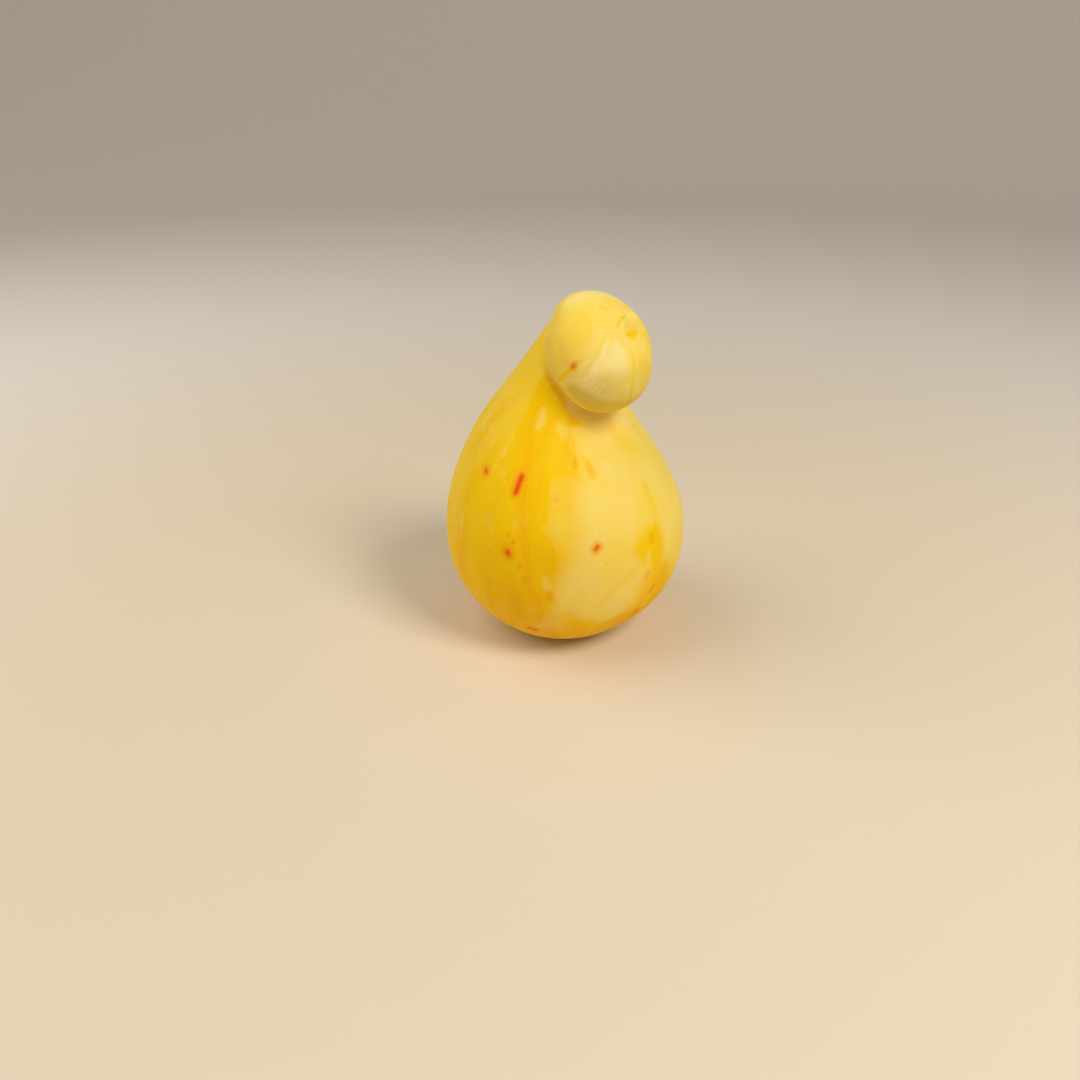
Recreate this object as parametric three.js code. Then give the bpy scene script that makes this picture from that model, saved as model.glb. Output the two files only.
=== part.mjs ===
// A saffron caciocavallo: a pulled-curd cheese in the form of a pear, pinched at the neck, with its head bent
// over the shoulder. Millimetres, +Z up. The origin is on the standing surface, under the belly's middle.
// The cheese is one lofted surface: rings of points run from the flat foot over the belly, the neck and the
// head to the end of the stub. Each ring is walked by its turn, an angle that is 0 on the inner side, where
// the head hangs over the shoulder.
import * as THREE from "three";
import { LoftGeometry } from "three/addons/geometries/LoftGeometry.js";

const { sin, cos, acos, exp, PI } = Math;
const radians = THREE.MathUtils.degToRad;

// Pear: flat foot, belly and the way the whole head leans in plan, from +X
const FOOT_RADIUS = 20;
const BELLY_RADIUS = 63.5;
const BELLY_HEIGHT = 61;
const BELLY_FULLNESS = 2.3; // power of the oval below the belly: 2 is an ellipse, more is fuller
const LEAN = radians(-42.5);

// Neck: the handles of the curves that run up it, on its outer and its inner side
const OUTER_LOW_HANDLE = 39;
const OUTER_HIGH_HANDLE = 43.5;
const OUTER_SLOPE = radians(54);
const INNER_LOW_HANDLE = 31;
const INNER_HIGH_HANDLE = 23;
const INNER_SLOPE = radians(101);
const SIDE_FLARE = 11; // how much wider than the pinch the sides still are a handle's length below it

// Head: a ball flattened towards its tip, a little oval, leaning out over the shoulder
const HEAD_REACH = 20.3; // from the pear's axis to the middle of the head's widest ring
const HEAD_HEIGHT = 155.7;
const HEAD_TILT = radians(49);
const HEAD_RADIUS = 28;
const HEAD_OVAL = 1.6;
const HEAD_OVAL_TURN = radians(-7);
const CAP_LENGTH = 21; // from the widest ring to the tip
const CAP_FULLNESS = 2.3;

// Pinch: how far behind the head's widest ring it lies, and how far it is drawn in
const PINCH_BACK_INNER = 17;
const PINCH_BACK_OUTER = 6.5;
const PINCH_DEPTH_INNER = 7;
const PINCH_DEPTH_SIDE = 4.2;
const PINCH_DEPTH_OUTER = 1;
const FOLD_SPREAD = 1.5; // how fast the inner side's sharp fold turns gentle round the ring: more is faster

// Tip: a dimple with the stub of curd where the head was twisted off
const DIMPLE_RADIUS = 6.5;
const DIMPLE_DEPTH = 1.2;
const STUB_RADIUS = 2.8;
const STUB_LENGTH = 9;
const STUB_ROUNDING = 1.4;
const STUB_LEAN = 0.45; // shift towards the outer side for each millimetre of its length

// Pleats of the gathered skin: turn at the widest ring, further turn at the tip, depth
const PLEATS = [
  { turn: radians(-58), drift: radians(-36), depth: 0.9 },
  { turn: radians(-10), drift: radians(2), depth: 0.7 },
  { turn: radians(47), drift: radians(10), depth: 0.6 },
  { turn: radians(104), drift: radians(6), depth: 0.5 },
  { turn: radians(158), drift: radians(-8), depth: 0.4 },
  { turn: radians(-137), drift: radians(14), depth: 0.4 },
];
const PLEAT_WIDTH = radians(9);

// Rings of each stretch, and points of each ring
const BELLY_RINGS = 16;
const NECK_RINGS = 20;
const SWELL_RINGS = 8;
const CAP_RINGS = 13;
const DIMPLE_RINGS = 3;
const STUB_RINGS = 3;
const STUB_END_RINGS = 3;
const RING_POINTS = 72;

const CURD_COLOUR = 0xf1c137;
const CURD_ROUGHNESS = 0.45;

// Frames: the plane of the lean holds forward and up, and the head's axis and inward way lie in it too
const UP = new THREE.Vector3(0, 0, 1);
const FORWARD = new THREE.Vector3(cos(LEAN), sin(LEAN), 0);
const ACROSS = UP.clone().cross(FORWARD);
const HEAD_CENTRE = inLeanPlane(HEAD_REACH, HEAD_HEIGHT);
const HEAD_AXIS = inLeanPlane(sin(HEAD_TILT), cos(HEAD_TILT));
const HEAD_INWARD = inLeanPlane(cos(HEAD_TILT), -sin(HEAD_TILT));

function sum(...terms) {
  return terms.reduce((total, [vector, scale]) => total.addScaledVector(vector, scale), new THREE.Vector3());
}

function inLeanPlane(reach, height) {
  return sum([FORWARD, reach], [UP, height]);
}

// A point of a level ring round the pear's axis.
function pearPoint(turn, radius, height) {
  return sum([FORWARD, radius * cos(turn)], [ACROSS, radius * sin(turn)], [UP, height]);
}

// A point round the head's axis, so far along it from the widest ring.
function headPoint(turn, radius, along) {
  const middle = sum([HEAD_CENTRE, 1], [HEAD_AXIS, along]);
  return sum([middle, 1], [HEAD_INWARD, radius * cos(turn)], [ACROSS, radius * sin(turn)]);
}

// A value that goes smoothly round a ring, from its inner side past its flanks to its outer side.
function around(turn, inner, side, outer) {
  const c = cos(turn);
  return side + ((inner - outer) / 2) * c + ((inner + outer) / 2 - side) * c * c;
}

// Belly: a full oval from the rim of the foot out to the widest ring.
function bellyPoint(turn, t) {
  const power = 2 / BELLY_FULLNESS;
  const start = acos((FOOT_RADIUS / BELLY_RADIUS) ** (1 / power));
  const drop = BELLY_HEIGHT / sin(start) ** power;
  const angle = start * (1 - t);
  return pearPoint(turn, BELLY_RADIUS * cos(angle) ** power, BELLY_HEIGHT - drop * sin(angle) ** power);
}

// Neck: every line up it is one Bezier curve from the belly's widest ring to the pinch.
function neckPoint(turn, t) {
  const inner = (1 + cos(turn)) / 2;
  const belly = pearPoint(turn, BELLY_RADIUS, BELLY_HEIGHT);
  const pinch = swellPoint(turn, 0);
  const rise = THREE.MathUtils.lerp(OUTER_LOW_HANDLE, INNER_LOW_HANDLE, inner);
  const outerPull = inLeanPlane(cos(OUTER_SLOPE), sin(OUTER_SLOPE)).multiplyScalar(OUTER_HIGH_HANDLE);
  const innerPull = inLeanPlane(cos(INNER_SLOPE), sin(INNER_SLOPE)).multiplyScalar(INNER_HIGH_HANDLE);
  const pull = outerPull.lerp(innerPull, inner);
  const high = sum([pinch, 1], [pull, -1], [ACROSS, SIDE_FLARE * sin(turn)]);
  return new THREE.CubicBezierCurve3(belly, sum([belly, 1], [UP, rise]), high, pinch).getPoint(t);
}

// How far the head's oval stands out from its round, at a turn.
function ovalAt(turn) {
  return HEAD_OVAL * cos(2 * (turn - HEAD_OVAL_TURN));
}

// How deep the pleats are at a turn, on the ring this share of the way from the widest ring to the tip.
function pleatDepth(turn, share) {
  const depths = PLEATS.map((pleat) => {
    const middle = pleat.turn + pleat.drift * share ** 2;
    const apart = THREE.MathUtils.euclideanModulo(turn - middle + PI, 2 * PI) - PI;
    return pleat.depth * exp(-((apart / PLEAT_WIDTH) ** 2));
  });
  return depths.reduce((total, depth) => total + depth, 0);
}

// Swell: from the pinch out to the head's widest ring, at once on the inner side and gently on the outer one.
function swellPoint(turn, t) {
  const angle = (t * PI) / 2;
  const gentle = sin(angle) ** 2;
  const tight = ((1 + cos(turn)) / 2) ** FOLD_SPREAD;
  const drawn = 1 - THREE.MathUtils.lerp(gentle, sin(angle), tight);
  const depth = around(turn, PINCH_DEPTH_INNER, PINCH_DEPTH_SIDE, PINCH_DEPTH_OUTER);
  const back = around(turn, PINCH_BACK_INNER, (PINCH_BACK_INNER + PINCH_BACK_OUTER) / 2, PINCH_BACK_OUTER);
  const radius = HEAD_RADIUS - depth * drawn + (ovalAt(turn) - pleatDepth(turn, 0)) * gentle;
  return headPoint(turn, radius, -back * cos(angle));
}

// Cap: a full oval from the widest ring in to the rim of the dimple, with the pleats pressed into it.
function capPoint(turn, t) {
  const power = 2 / CAP_FULLNESS;
  const full = HEAD_RADIUS + ovalAt(turn);
  const angle = acos((DIMPLE_RADIUS / full) ** (1 / power)) * t;
  const pressed = pleatDepth(turn, t);
  const radius = full * cos(angle) ** power - pressed * cos(angle);
  return headPoint(turn, radius, CAP_LENGTH * sin(angle) ** power - pressed * sin(angle));
}

// Dimple: a smooth funnel from the cap's end down to the root of the stub.
function dimplePoint(turn, t) {
  const rim = capPoint(turn, 1);
  const root = headPoint(turn, STUB_RADIUS, CAP_LENGTH - DIMPLE_DEPTH);
  const fall = t * t * (3 - 2 * t);
  const level = rim.clone().lerp(root, t);
  return level.addScaledVector(HEAD_AXIS, rim.clone().sub(root).dot(HEAD_AXIS) * (t - fall));
}

// Stub: a leaning peg that grows out of the dimple.
function stubPoint(turn, radius, length) {
  const point = headPoint(turn, radius, CAP_LENGTH - DIMPLE_DEPTH + length);
  return point.addScaledVector(HEAD_INWARD, -STUB_LEAN * length);
}

function stubSidePoint(turn, t) {
  return stubPoint(turn, STUB_RADIUS, t * (STUB_LENGTH - STUB_ROUNDING));
}

function stubEndPoint(turn, t) {
  const angle = (t * PI) / 2;
  const radius = STUB_RADIUS - STUB_ROUNDING * (1 - cos(angle));
  return stubPoint(turn, radius, STUB_LENGTH - STUB_ROUNDING * (1 - sin(angle)));
}

// Rings of one stretch of the cheese, evenly spaced in its own measure t from 0 up to, but not at, 1.
function stretch(count, pointAt) {
  const turns = Array.from({ length: RING_POINTS }, (_, k) => (2 * PI * k) / RING_POINTS);
  return Array.from({ length: count }, (_, row) => turns.map((turn) => pointAt(turn, row / count)));
}

const rings = [
  ...stretch(BELLY_RINGS, bellyPoint),
  ...stretch(NECK_RINGS, neckPoint),
  ...stretch(SWELL_RINGS, swellPoint),
  ...stretch(CAP_RINGS, capPoint),
  ...stretch(DIMPLE_RINGS, dimplePoint),
  ...stretch(STUB_RINGS, stubSidePoint),
  ...stretch(STUB_END_RINGS, stubEndPoint),
];

const curd = new THREE.MeshStandardMaterial({ color: CURD_COLOUR, roughness: CURD_ROUGHNESS, metalness: 0 });
const cheese = new THREE.Mesh(new LoftGeometry(rings, { capStart: true, capEnd: true }), curd);
cheese.name = "cheese";

const caciocavallo = new THREE.Group();
caciocavallo.add(cheese);

export default caciocavallo;
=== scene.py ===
# Looks of a saffron caciocavallo: a pulled-curd cheese like a pear, its head bent over its shoulder.
# The file is laid out as an add-on: property groups hold the sizes and colours that a user would change, one
# operator makes the cheese and one its stage. Metres, +Z up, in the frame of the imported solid.
import math
from collections import namedtuple

import bpy
import numpy as np
from bpy.props import FloatProperty, FloatVectorProperty, PointerProperty
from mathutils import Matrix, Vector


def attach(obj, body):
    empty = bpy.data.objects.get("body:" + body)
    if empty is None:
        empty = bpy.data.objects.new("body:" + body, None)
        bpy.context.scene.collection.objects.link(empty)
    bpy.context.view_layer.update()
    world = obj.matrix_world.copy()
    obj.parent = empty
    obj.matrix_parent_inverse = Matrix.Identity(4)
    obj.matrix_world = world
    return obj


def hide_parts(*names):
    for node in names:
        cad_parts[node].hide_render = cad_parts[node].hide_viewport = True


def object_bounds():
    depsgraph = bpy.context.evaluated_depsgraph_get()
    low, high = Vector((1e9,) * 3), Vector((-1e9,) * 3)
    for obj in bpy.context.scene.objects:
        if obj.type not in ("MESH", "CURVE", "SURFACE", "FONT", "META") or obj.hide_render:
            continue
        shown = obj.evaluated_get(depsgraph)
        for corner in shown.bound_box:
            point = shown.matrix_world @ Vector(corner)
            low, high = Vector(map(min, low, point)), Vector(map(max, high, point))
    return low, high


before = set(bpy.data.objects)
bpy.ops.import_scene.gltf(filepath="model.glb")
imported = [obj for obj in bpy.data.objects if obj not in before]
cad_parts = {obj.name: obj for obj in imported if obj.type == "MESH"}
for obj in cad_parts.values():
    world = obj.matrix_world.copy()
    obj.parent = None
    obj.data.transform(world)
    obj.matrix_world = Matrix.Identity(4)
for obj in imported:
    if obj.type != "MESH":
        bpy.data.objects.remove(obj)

bl_info = {
    "name": "Saffron Caciocavallo",
    "version": (1, 0, 0),
    "blender": (4, 5, 0),
    "location": "3D View > Sidebar > Caciocavallo",
    "description": "Makes a pear-shaped pulled-curd cheese with saffron marbling, and a plain stage for it",
    "category": "Add Mesh",
}

MM = 0.001
CAD_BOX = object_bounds()
SOLID_NODE = "cheese"
BODY = "root"

# Grid of the skin: rows of each stretch from the foot to the stub's end, and points round each row
STRETCH_ROWS = {
    "foot": 6, "belly": 60, "neck": 90, "swell": 44, "cap": 66, "dimple": 12, "stub": 12, "stub_end": 8,
}
ROW_POINTS = 320
NECK_BUNCHING = 1.35  # more than 1 closes the neck's rows up towards the fold

# Steps that ease the corners and that soak the washes, and how many easing lengths an easing reaches
EASING_STEPS = 300
SOAKING_STEPS = 8
EASING_REACH = 2.2

# Where one easing gives way to the next, and where the fold's crease deepens and ends, in degrees from the
# inner side
FOLD_TO_FLANK = (66, 104)
FLANK_TO_NOTCH = (122, 150)
ROOT_TO_HOLLOW = (60, 110)
CREASE_DEEPENS = (40, 75)
CREASE_ENDS = (72, 124)

# Rises over which relief begins and ends, and the height over which lumps begin above the foot
PLEATS_BEGIN, PLEATS_END = (3.35, 4.0), (4.7, 4.97)
FLUTES_BEGIN, FLUTES_END = (2.25, 2.95), (3.7, 4.6)
BULGES_END = (5.2, 5.9)
LUMPS_END = (4.8, 5.0)
LUMPS_BEGIN = 12 * MM

# Waves of the lumps and of the flutes, share of the cap over which a pleat that begins on it fades in, and
# widths of a pleat over which its lip rises
RELIEF_SEED = 11
LUMP_WAVES = 9
FLUTE_WAVES = (6, 9, 14, 23)
PLEAT_START = (-0.08, 0.25)
LIP_RISE = (-1.2, 2.2)

# Half the rise over which a wash begins or ends, and the least blur of a stain's edge
WASH_FADE = 0.05
STAIN_BLUR = 0.8 * MM

# How many of its radii a thread shows round itself, and any other mark, and the least length of a stroke
THREAD_REACH = 8
MARK_REACH = 4.5
LEAST_STROKE = 0.1 * MM

# Patterns that follow the pull are laid on a ring of this size, with the way up drawn out by the stretch.
# Towards the head's tip the ring closes, down to this share
PULL_RING = 40 * MM
PULL_STRETCH = 5
LEAST_RING = 0.2

# The floor: points round it, rows of its sweep, radius of its middle, and where it turns paler
FLOOR_POINTS = 96
SWEEP_ROWS = 24
FLOOR_MIDDLE = 20 * MM
# The paler far floor and backdrop are painted light, making up for lamp light that falls off before it
# reaches them
FLOOR_PALER = (200 * MM, 800 * MM)

# Places on the skin are (turn in degrees, rise). The turn is 0 on the inner side, where the head hangs over
# the shoulder, and grows anticlockwise from above. The rise counts stretches: belly 1 to 2, neck 2 to 3,
# swell 3 to 4, cap 4 to 5, dimple 5 to 6, stub 6 to 8. All lengths in these lists are millimetres.
Bulge = namedtuple("Bulge", "place radius height")
Pleat = namedtuple("Pleat", "turns begins depth lip")
Wash = namedtuple("Wash", "strength soft rows")  # rows are (rise, from turn, to turn), soft is in degrees
Stain = namedtuple("Stain", "strength path")  # the path is (turn, rise, half width)
Mark = namedtuple("Mark", "start end radius strength")

# Where the hand-formed cheese departs from its smooth form
BULGES = (
    Bulge((92, 4.68), 11, 1.0),
    Bulge((45, 4.2), 13, -0.5),
    Bulge((-160, 4.12), 9, 0.8),
    Bulge((-144, 3.75), 7, -1.1),
    Bulge((57, 2.74), 12, -1.6),
    Bulge((50, 2.77), 6, -1.2),
    Bulge((45, 1.95), 24, 0.9),
    Bulge((45, 2.35), 20, -0.9),
    Bulge((-133, 2.5), 25, 0.4),
)

# Pleats of the gathered head: turns at the widest ring, halfway and at the tip, the share of the cap where
# each begins, depth of the crease, and height of the lip, which is where the turn grows if it is above 0
PLEATS = (
    Pleat((-70, -73, -115), 0.0, 0.2, 0.5),
    Pleat((-7, -16, -12), 0.0, 0.5, -0.45),
    Pleat((62, 68, 72), 0.55, 0.25, 0.3),
)

# Gold where saffron has bled broadly into the curd
SAFFRON_WASHES = (
    # Down the front, from the fold to the foot
    Wash(1.15, 4, (
        (1.62, -68, -59), (1.68, -71, -58), (1.73, -78, -57), (1.77, -90, -56), (1.8, -106, -55),
        (1.85, -112, -53), (1.88, -114, -55.5), (1.93, -114, -54), (1.97, -113, -53), (2.02, -111, -53),
        (2.06, -109, -51.5), (2.1, -107, -52.5), (2.19, -106, -54), (2.21, -106, -60), (2.26, -107, -60),
        (2.28, -107, -55), (2.33, -107, -52), (2.38, -107, -52), (2.4, -107, -55), (2.45, -106, -56),
        (2.53, -104, -56), (2.55, -103, -48), (2.57, -101, -39), (2.6, -97, -36), (2.64, -94, -37),
        (2.68, -93, -41), (2.7, -93, -45), (2.74, -93, -52), (2.79, -94, -58), (2.82, -95, -65),
        # From rise 2.855 to 2.9 the gold reaches into the head's shadow on the shoulder: partly painted shade
        (2.84, -96, -62), (2.855, -97, -31), (2.87, -97, -30), (2.9, -98, -33), (2.92, -99, -52),
        (2.95, -100, -55), (3.0, -98, -62),
    )),
    # Thinly beside it: to the right, over the left flank, below, and round the foot
    Wash(0.66, 7, (
        (2.0, -58, -48), (2.2, -60, -42), (2.35, -56, -42), (2.48, -58, -40), (2.56, -50, -34),
        (2.7, -50, -36), (2.82, -62, -38),
    )),
    # Over the left flank: saffron, and towards the left edge partly painted shade where the light falls off
    Wash(0.7, 12, (
        (1.45, -150, -88), (1.7, -155, -85), (2.3, -160, -82), (2.6, -165, -80), (2.95, -165, -82),
        (3.2, -140, -76),
    )),
    Wash(0.8, 5, ((1.4, -115, -58), (1.6, -108, -62), (1.72, -102, -75), (1.78, -100, -88))),
    Wash(0.5, 3, ((1.42, -60, -49), (1.6, -60, -50), (1.74, -58, -52), (1.8, -57, -54))),
    Wash(0.95, 6, ((1.3, -140, 40), (1.5, -130, 34), (1.56, -118, 26))),
    # The patch on the right, and a thin wash below it
    Wash(1.1, 2.5, (
        (1.88, -5, -2), (1.92, -5.5, 0), (1.96, -6, 1.5), (1.99, -9, 2.5), (2.02, -12, 2.5),
        (2.06, -16, 2.5), (2.1, -16, 2.5), (2.15, -13, 2), (2.18, -9, 2), (2.2, -2, 2), (2.22, -1, 2),
    )),
    Wash(0.88, 7, ((1.45, -24, 38), (1.6, -18, 32), (1.75, -12, 24), (1.95, -8, 10))),
    # At the foot of the front
    Wash(1.1, 1.8, (
        (1.5, -48, -20), (1.55, -47, -24), (1.58, -48, -30), (1.62, -49, -32), (1.655, -49.5, -34),
        (1.675, -49.5, -43), (1.72, -49.5, -44.5), (1.76, -48, -46),
    )),
    # On the head: its left side, and right of the right pleat
    Wash(0.36, 10, ((3.2, -150, -78), (4.2, -140, -85), (4.7, -140, -95))),
    Wash(0.25, 8, ((3.4, -5, 60), (4.3, 4, 60), (4.8, -8, 80))),
    # The back, in the manner of the front
    Wash(1.1, 3, (
        (1.6, 106, 124), (1.75, 100, 132), (1.9, 103, 140), (2.05, 104, 137), (2.2, 112, 141),
        (2.3, 115, 139), (2.42, 126, 144), (2.55, 130, 150), (2.7, 139, 151), (2.9, 147, 156),
    )),
    Wash(0.45, 9, ((1.5, 60, 110), (2.0, 56, 104), (2.4, 66, 100), (2.75, 84, 108))),
    Wash(0.9, 2, (
        (1.82, -164, -158), (1.95, -170, -158), (2.05, -171, -157), (2.18, -168, -157), (2.3, -162, -158),
        (2.42, -159, -156),
    )),
    Wash(0.8, 2, ((1.88, 45, 49), (1.98, 41, 50), (2.08, 41, 48), (2.22, 41, 43))),
)

# Narrower stains, drawn out along the pull
SAFFRON_STAINS = (
    # Right of the gold front, above and below the right patch, along the lower rim and on the right shoulder
    Stain(0.65, ((-33, 2.67, 1.5), (-31, 2.61, 2.5), (-30, 2.55, 2.2))),
    Stain(0.4, ((0.5, 2.2, 2), (1, 2.27, 3), (2, 2.34, 3.2), (4, 2.42, 2.5))),
    Stain(0.3, ((-15, 1.97, 3), (-24, 1.92, 3), (-28, 1.86, 2.5), (-32, 1.8, 2))),
    Stain(1.0, (
        (-36, 1.52, 4), (-22, 1.58, 3.5), (-14, 1.63, 3), (-6, 1.66, 3), (0, 1.7, 2.5), (2, 1.76, 1.5),
    )),
    Stain(0.28, ((10, 2.84, 2.5), (7, 2.77, 3.5), (10, 2.7, 4.5), (20, 2.62, 4))),
    # Partly painted shade: gold in the head's shadow on the shoulder
    Stain(0.2, ((-22, 2.86, 2.5), (-10, 2.85, 2))),
    # On the head: the thread's streak, round the stub, on the crown, painted shade above the fold, along the
    # pleats, down the left side and where the neck runs in
    Stain(0.8, ((-80, 3.6, 1.2), (-80.5, 4.0, 1.3), (-81, 4.14, 1.2), (-81, 4.24, 0.9), (-80, 4.34, 0.5))),
    Stain(1.0, ((-35, 5.75, 1.4), (5, 5.75, 1.9), (40, 5.8, 1.3))),
    Stain(0.8, ((-115, 5.35, 0.8), (-150, 5.6, 0.9), (180, 5.6, 0.9))),
    Stain(0.5, ((-162, 4.76, 1), (-158, 4.82, 1.2))),
    Stain(0.5, ((60, 4.94, 1), (70, 4.8, 1.3), (73, 4.7, 1.2))),
    # Painted shade: gold along the head's shaded lower edge, above the fold
    Stain(0.35, ((-68, 3.5, 3), (-45, 3.6, 3.5), (-22, 3.8, 3.5), (-8, 4.05, 3))),
    Stain(0.5, ((-14, 4.8, 0.8), (-16.5, 4.62, 0.9), (-14, 4.35, 0.9), (-10, 4.17, 1.2), (-8, 4.07, 1.6))),
    Stain(0.36, ((-118, 4.76, 1.6), (-113, 4.6, 2.2), (-106, 4.43, 2), (-103, 4.22, 1.6), (-99, 3.9, 1.2))),
    Stain(0.3, ((-130, 4.6, 1.2), (-125, 4.4, 1.6), (-121, 4.15, 1.2))),
    Stain(0.25, ((-98, 4.86, 0.7), (-89, 4.76, 0.8), (-79, 4.63, 0.8), (-73, 4.45, 0.8), (-70, 4.3, 0.7))),
    Stain(0.55, ((-84, 3.0, 2.5), (-97, 3.04, 3), (-110, 3.14, 3), (-122, 3.27, 2))),
    Stain(0.4, ((-163, 4.22, 1.4), (-160, 4.26, 1.2))),
    # Round the back of the foot
    Stain(0.8, (
        (60, 1.55, 5), (90, 1.5, 6), (130, 1.52, 6), (165, 1.5, 5), (-150, 1.55, 5), (-120, 1.5, 6),
    )),
)

# Curd that the saffron has not reached
SAFFRON_GAPS = (
    # A tongue below the fold, with feathers to its left
    Stain(0.75, ((-81, 2.85, 0.9), (-77, 2.81, 2.2), (-77, 2.77, 2.4), (-77, 2.745, 1.4))),
    Stain(0.6, ((-79, 2.79, 0.9), (-83.5, 2.785, 0.6))),
    Stain(0.6, ((-78, 2.755, 0.9), (-81.5, 2.745, 0.7))),
    Stain(0.4, ((-84, 2.685, 0.8), (-83.5, 2.64, 0.7))),
    # Between the fold and the gold below it
    Stain(0.7, ((-72, 2.95, 0.8), (-71, 2.94, 0.9))),
    Stain(0.8, ((-52, 2.95, 1.2), (-40, 2.935, 2), (-25, 2.94, 2), (5, 2.95, 2))),
    # Streaks and spots inside the gold
    Stain(0.45, ((-93, 2.64, 1.2), (-94.5, 2.5, 1.6), (-96, 2.4, 1.4))),
    Stain(0.5, ((-87, 2.43, 1.1), (-86, 2.47, 1.1))),
    Stain(0.25, ((-95, 2.3, 3), (-94, 2.12, 4))),
    Stain(0.8, ((-57.5, 1.97, 1.8), (-57, 1.925, 2.2))),
    Stain(0.6, ((-63, 1.77, 1.2), (-64, 1.755, 1.2))),
    Stain(0.5, ((-106, 2.15, 1.4), (-106, 2.03, 1.4))),
    Stain(0.4, ((-111, 2.1, 1.2), (-110, 2, 1.2))),
    Stain(0.9, ((-7.5, 2.05, 1), (-7.5, 1.98, 1.8), (-6.5, 1.92, 1.2))),
    Stain(0.7, ((-45, 2.585, 0.9), (-44.5, 2.61, 0.5))),
)

# Paler curd: the dry panel of the head with the lips beside it, the left one partly a painted highlight,
# what the fold squeezed out, the crown, a flake on the right shoulder, and the stub
PALE_PATCHES = (
    Stain(0.75, ((-60, 4.86, 2.5), (-50, 4.76, 5.5), (-47, 4.6, 8), (-44, 4.35, 10), (-46, 4.1, 9))),
    # Pale lip along the left pleat: paler curd, and partly a painted highlight on the raised lip
    Stain(0.7, ((-80, 4.77, 1.2), (-71, 4.63, 1.8), (-66, 4.45, 2.2), (-62, 4.3, 2.4))),
    Stain(0.6, ((-9, 4.52, 0.8), (-6, 4.42, 1.7), (-5, 4.3, 1.7), (-6, 4.2, 1))),
    Stain(0.5, ((-72, 2.985, 0.8), (-60, 2.985, 1), (-45, 2.97, 1.6), (-30, 2.97, 1))),
    Stain(0.5, ((-150, 4.25, 4), (-170, 4.42, 6), (170, 4.52, 6), (145, 4.58, 5))),
    Stain(0.4, ((-163, 4.52, 1.5), (-174, 4.62, 2), (172, 4.66, 1.5))),
    Stain(0.4, ((40, 2.74, 3), (32, 2.8, 3))),
    Stain(0.5, ((90, 6.3, 3), (90, 7.5, 3))),
)

# Painted shade in an ochre tone: under the head, low on its panel, and left of it above the fold, where these
# lie in shade
PAINTED_SHADE_PATCHES = (
    Stain(0.8, ((-62, 3.8, 4), (-48, 3.86, 6), (-25, 3.92, 8), (0, 4.05, 9), (25, 4.12, 9), (45, 4.2, 7))),
    Stain(0.65, ((-42, 4.3, 7), (-15, 4.4, 8), (10, 4.5, 8))),
    Stain(0.45, ((-84, 3.4, 3), (-98, 3.45, 4), (-112, 3.55, 4), (-122, 3.6, 3))),
)

# Saffron threads in the skin, of which the broad weak ones are only an orange tint
SAFFRON_THREADS = (
    Mark((-75, 2.485), (-75.8, 2.395), 0.7, 1.02),
    Mark((-99.6, 2.427), (-98.8, 2.418), 0.75, 0.94),
    Mark((-75.2, 2.082), (-74.8, 2.074), 0.95, 0.95),
    Mark((-72.5, 2.145), (-72.8, 2.135), 0.4, 0.75),
    Mark((-75, 2.175), (-75.2, 2.165), 0.4, 0.6),
    Mark((-69.2, 2.025), (-69, 2.015), 0.4, 0.68),
    Mark((-66.5, 1.96), (-66.7, 1.94), 0.55, 0.68),
    Mark((-34, 2.147), (-34.8, 2.137), 0.65, 0.95),
    Mark((-55, 1.87), (-55.5, 1.85), 0.6, 0.65),
    Mark((-41.2, 2.645), (-41.2, 2.61), 0.4, 0.55),
    Mark((-53.2, 2.42), (-53.2, 2.4), 0.5, 0.52),
    Mark((-30, 2.62), (-29.5, 2.57), 0.9, 0.42),
    Mark((-4.8, 2.135), (-5.2, 2.105), 0.5, 0.6),
    Mark((-7, 1.925), (-8, 1.9), 0.6, 0.6),
    Mark((-1.6, 1.8), (-2.8, 1.775), 0.6, 0.78),
    Mark((-68, 1.53), (-64, 1.515), 0.7, 0.9),
    Mark((-6.2, 1.61), (-7.6, 1.575), 0.7, 0.9),
    Mark((-81.4, 4.165), (-81, 4.115), 0.45, 0.9),
    Mark((-45, 2.885), (-41, 2.875), 0.8, 0.45),
    # The orange streak down the gold front
    Mark((-78, 2.68), (-74, 2.53), 1.0, 0.45),
    Mark((-74, 2.53), (-71, 2.38), 1.1, 0.5),
    Mark((-71, 2.38), (-67, 2.15), 1.2, 0.5),
    Mark((-67, 2.15), (-65, 1.95), 1.1, 0.5),
    Mark((-65, 1.95), (-61, 1.8), 1.1, 0.48),
    # The back
    Mark((140, 2.42), (139, 2.34), 0.8, 1.0),
    Mark((118, 2.05), (116.5, 2.03), 0.9, 0.95),
    Mark((131, 2.2), (131.5, 2.18), 0.5, 0.6),
    Mark((125, 1.9), (124.5, 1.88), 0.6, 0.7),
    Mark((136, 2.58), (127, 2.2), 1.1, 0.45),
    Mark((82, 2.1), (80.5, 2.085), 0.9, 0.95),
    Mark((64, 2.4), (64.5, 2.37), 0.6, 0.65),
    Mark((104, 1.75), (101, 1.74), 0.8, 0.8),
    Mark((-163, 2.16), (-164, 2.1), 0.75, 0.95),
    Mark((-150, 1.93), (-151, 1.92), 0.8, 0.65),
    Mark((178, 2.55), (178, 2.53), 0.6, 0.7),
    Mark((-128, 2.12), (-128.6, 2.1), 0.6, 0.6),
    Mark((30, 1.85), (28, 1.83), 0.7, 0.8),
    Mark((120, 4.3), (121, 4.2), 0.7, 0.9),
)

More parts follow.
